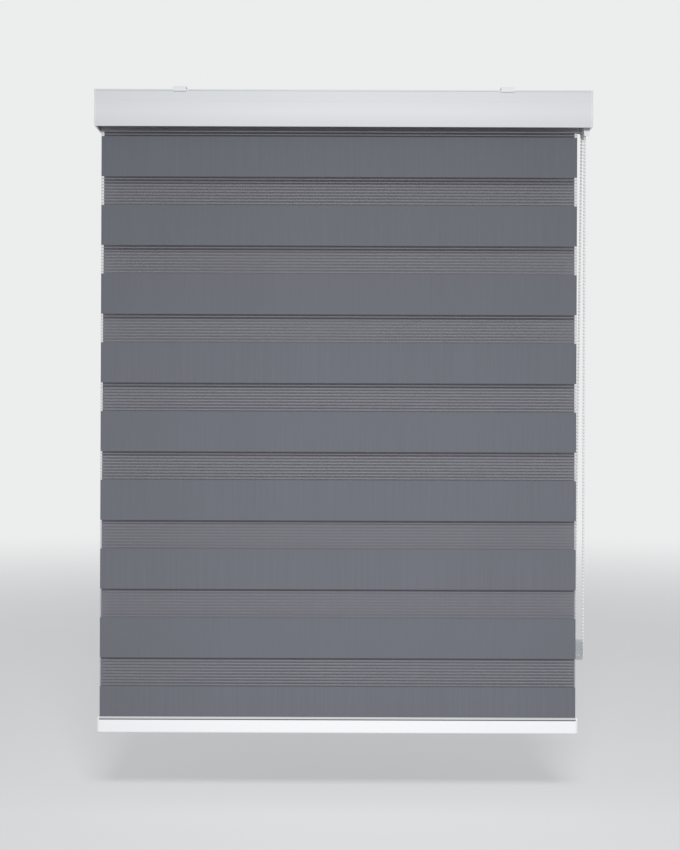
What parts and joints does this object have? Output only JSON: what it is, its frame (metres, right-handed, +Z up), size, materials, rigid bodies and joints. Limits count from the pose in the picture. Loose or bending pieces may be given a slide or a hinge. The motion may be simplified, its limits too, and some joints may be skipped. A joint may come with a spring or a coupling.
{
  "type": "day and night blind",
  "caption": "Day and night roller blind in a closed cassette: a double loop of banded cloth with sheer and opaque stripes, a weighted bottom rail and an endless bead chain.",
  "frame": {"origin": "on the ceiling plane, midway between the screws of the two ceiling brackets", "axes": "+Z up, +X to the right as seen from the room, -Y towards the room"},
  "size_m": [0.9, 0.0686, 1.17],
  "materials": {
    "painted_aluminium": "white powder coat on an extrusion, satin",
    "white_plastic": "moulded white plastic, satin",
    "painted_steel": "white paint on bent spring steel",
    "zinc_steel": "zinc plated",
    "mill_aluminium": "plain extrusion",
    "grey_plastic": "moulded grey plastic",
    "clear_plastic": "moulded clear plastic",
    "grey_cloth": "woven polyester, grey opaque bands and ribbed sheer bands"
  },
  "bodies": {
    "cassette": {"cassette_front": "painted_aluminium", "cassette_back": "painted_aluminium", "end_cap_left": "white_plastic", "end_cap_right": "white_plastic", "end_cap_screws": "zinc_steel", "ceiling_bracket_left": "painted_steel", "ceiling_bracket_right": "painted_steel", "fixed_end_strip": "grey_plastic", "idle_bush": "grey_plastic", "clutch_base": "grey_plastic", "chain_guard": "white_plastic", "bead_chain": "white_plastic", "tensioner_base": "clear_plastic", "tensioner_cover": "clear_plastic", "fabric_front": "grey_cloth", "fabric_back": "grey_cloth"},
    "roller": {"roller_tube": "mill_aluminium", "fabric_spline": "grey_plastic", "fabric_roll": "grey_cloth", "idle_plug": "grey_plastic", "idle_pin": "zinc_steel", "idle_spring": "zinc_steel", "drive_crown": "grey_plastic", "chain_wheel": "grey_plastic", "wrap_springs": "zinc_steel"},
    "rail": {"bottom_rail": "painted_aluminium", "rail_cap_left": "white_plastic", "rail_cap_right": "white_plastic", "fabric_loop": "grey_cloth"},
    "rod": {"rail_rod": "zinc_steel"}
  },
  "joints": [
    {"name": "rail_lift", "type": "slide", "parent": "cassette", "child": "rail", "axis": [0, 0, 1], "range_m": [0, 1.06], "deforming": ["fabric_front", "fabric_back"]},
    {"name": "roller_turn", "type": "hinge", "parent": "cassette", "child": "roller", "pos_m": [0, 0.001, -0.033], "axis": [-1, 0, 0], "range_deg": [0, 6280], "deforming": ["bead_chain"]},
    {"name": "rod_turn", "type": "hinge", "parent": "rail", "child": "rod", "pos_m": [-0.0075, -0.0105, -1.148], "axis": [-1, 0, 0], "range_deg": [0, 15100]}
  ],
  "couplings": [
    {"joint": "roller_turn", "follows": "rail_lift", "rad_per_m": 103.36},
    {"joint": "rod_turn", "follows": "rail_lift", "rad_per_m": 246.9}
  ]
}
